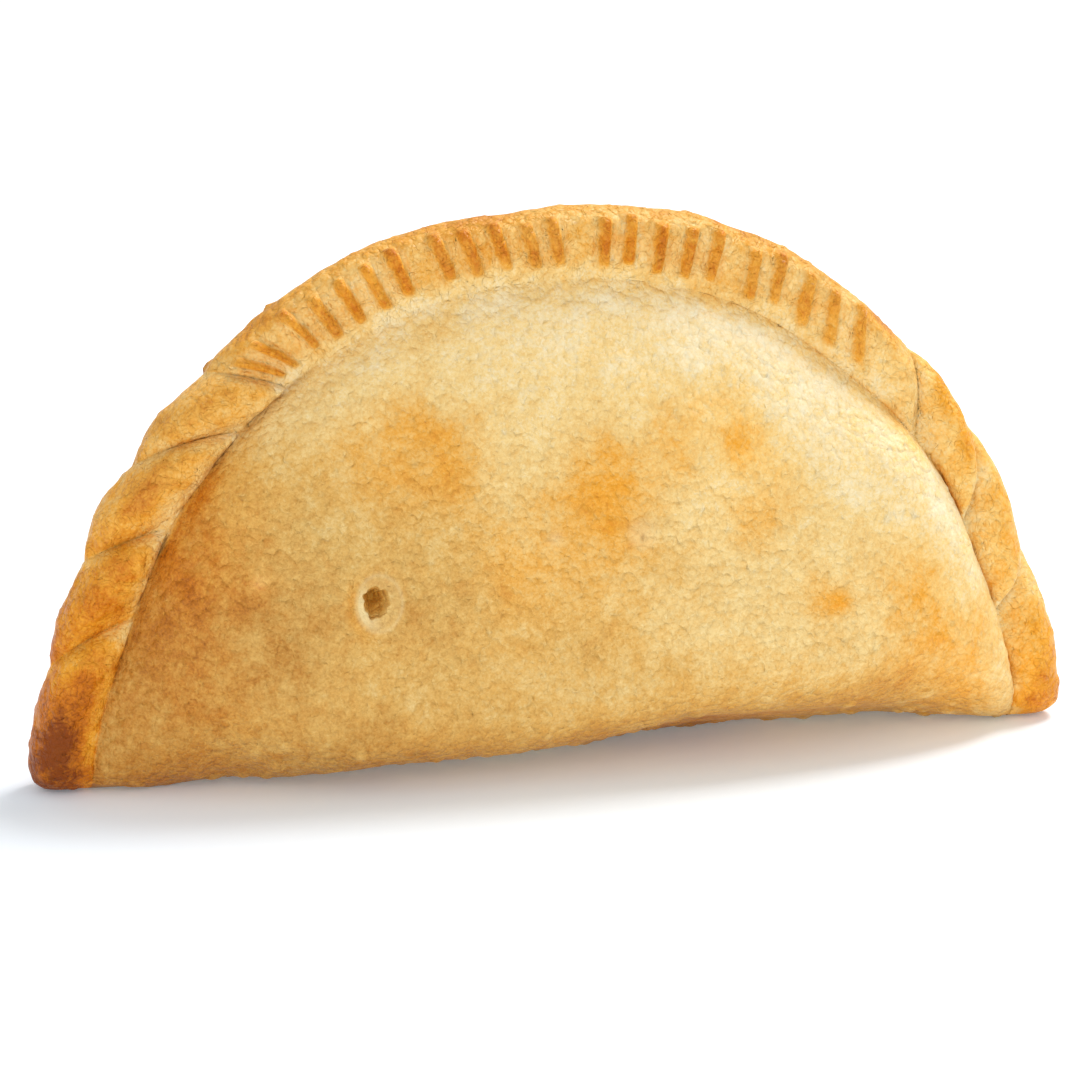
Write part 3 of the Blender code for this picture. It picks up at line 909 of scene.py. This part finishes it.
crust = buildCrust()
crust.data.materials.append(crustMaterial())
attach(crust, "root")
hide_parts("pastry")

# Floor, light and camera
studio = {
    "turn": 14.8, "rise": 14.9,       # degrees that the camera stands to the left and above
    "distance": 600.0,
    "target": (-1.95, -2.23, 26.62),
    "lens": 166.05, "sensor": 36.0,
    "floorSize": 6000.0,
    "floorColour": (0.92, 0.955, 1.0),
    "glowColour": (0.64, 0.87, 1.0), "glow": 0.15,
    "world": 0.6,
    "keyPower": 7.0, "keySize": 380.0, "keyFrom": (450.0, 250.0, 800.0),
    "fillPower": 1.7, "fillSize": 700.0, "fillFrom": (-300.0, -800.0, 350.0),
}


def lookAt(item, place, target):
    item.location = Vector(place) * mm
    item.rotation_euler = (Vector(target) - Vector(place)).to_track_quat("-Z", "Y").to_euler()


def areaLight(name, power, size, place):
    light = bpy.data.lights.new(name, "AREA")
    light.energy = power
    light.size = size * mm
    item = bpy.data.objects.new(name, light)
    bpy.context.collection.objects.link(item)
    lookAt(item, place, (0.0, 0.0, 30.0))
    return item


def buildStudio():
    half = studio["floorSize"] * mm / 2.0
    floorData = bpy.data.meshes.new("floor")
    floorData.from_pydata([(-half, -half, 0), (half, -half, 0), (half, half, 0), (-half, half, 0)],
                          [], [(0, 1, 2, 3)])
    floor = bpy.data.objects.new("floor", floorData)
    bpy.context.collection.objects.link(floor)
    paper = bpy.data.materials.new("palePaper")
    paper.use_nodes = True
    paperShader = paper.node_tree.nodes["Principled BSDF"]
    paperShader.inputs["Base Color"].default_value = (*studio["floorColour"], 1.0)
    paperShader.inputs["Roughness"].default_value = 0.9
    paperShader.inputs["Specular IOR Level"].default_value = 0.1
    paperShader.inputs["Emission Color"].default_value = (*studio["glowColour"], 1.0)
    paperShader.inputs["Emission Strength"].default_value = studio["glow"]
    floorData.materials.append(paper)
    world = bpy.data.worlds.new("softRoom")
    world.use_nodes = True
    world.node_tree.nodes["Background"].inputs["Color"].default_value = (1.0, 1.0, 1.0, 1.0)
    world.node_tree.nodes["Background"].inputs["Strength"].default_value = studio["world"]
    bpy.context.scene.world = world
    areaLight("key", studio["keyPower"], studio["keySize"], studio["keyFrom"])
    areaLight("fill", studio["fillPower"], studio["fillSize"], studio["fillFrom"])
    camera = bpy.data.cameras.new("camera")
    camera.lens = studio["lens"]
    camera.sensor_width = studio["sensor"]
    camera.clip_start = 0.01
    item = bpy.data.objects.new("camera", camera)
    bpy.context.collection.objects.link(item)
    turn = np.radians(studio["turn"])
    rise = np.radians(studio["rise"])
    back = Vector((-np.sin(turn) * np.cos(rise), -np.cos(turn) * np.cos(rise), np.sin(rise)))
    target = Vector(studio["target"])
    lookAt(item, target + back * studio["distance"], target)
    bpy.context.scene.camera = item
    bpy.context.scene.view_settings.view_transform = "Standard"


buildStudio()
